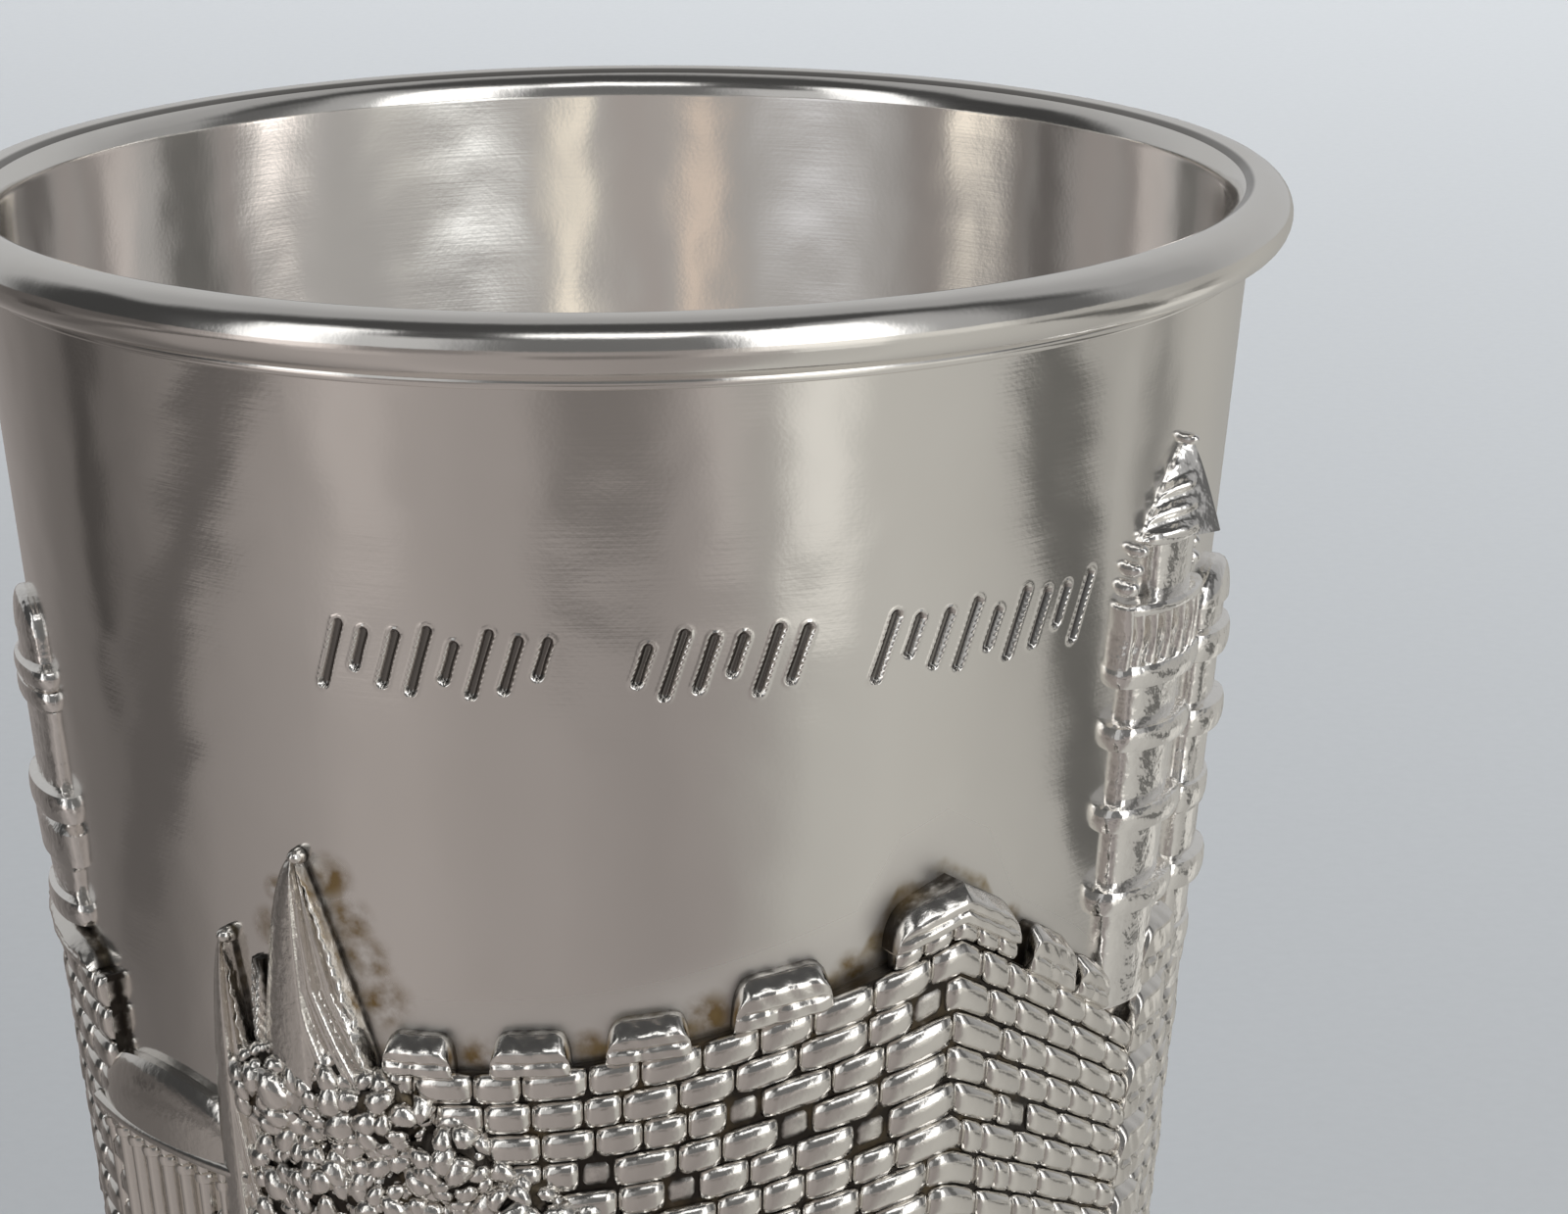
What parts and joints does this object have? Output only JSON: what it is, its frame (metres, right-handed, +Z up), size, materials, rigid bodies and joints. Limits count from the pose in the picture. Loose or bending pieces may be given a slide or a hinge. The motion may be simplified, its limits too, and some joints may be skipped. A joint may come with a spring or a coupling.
{
  "type": "kiddush cup",
  "caption": "Tapered silver drinking beaker with a rolled rim, a row of engraved strokes and a walled town in relief round its lower half.",
  "frame": {"origin": "centre of the underside, on the surface the cup stands on", "axes": "+Z up along the cup's axis; the engraved row and the fortress corner face -Y; +X to the right as seen from the front"},
  "size_m": [0.0648, 0.0648, 0.08],
  "materials": {
    "silver": "worn polished silver, oxidised in the recesses of the relief"
  },
  "bodies": {
    "root": {"cup": "silver"}
  },
  "joints": []
}
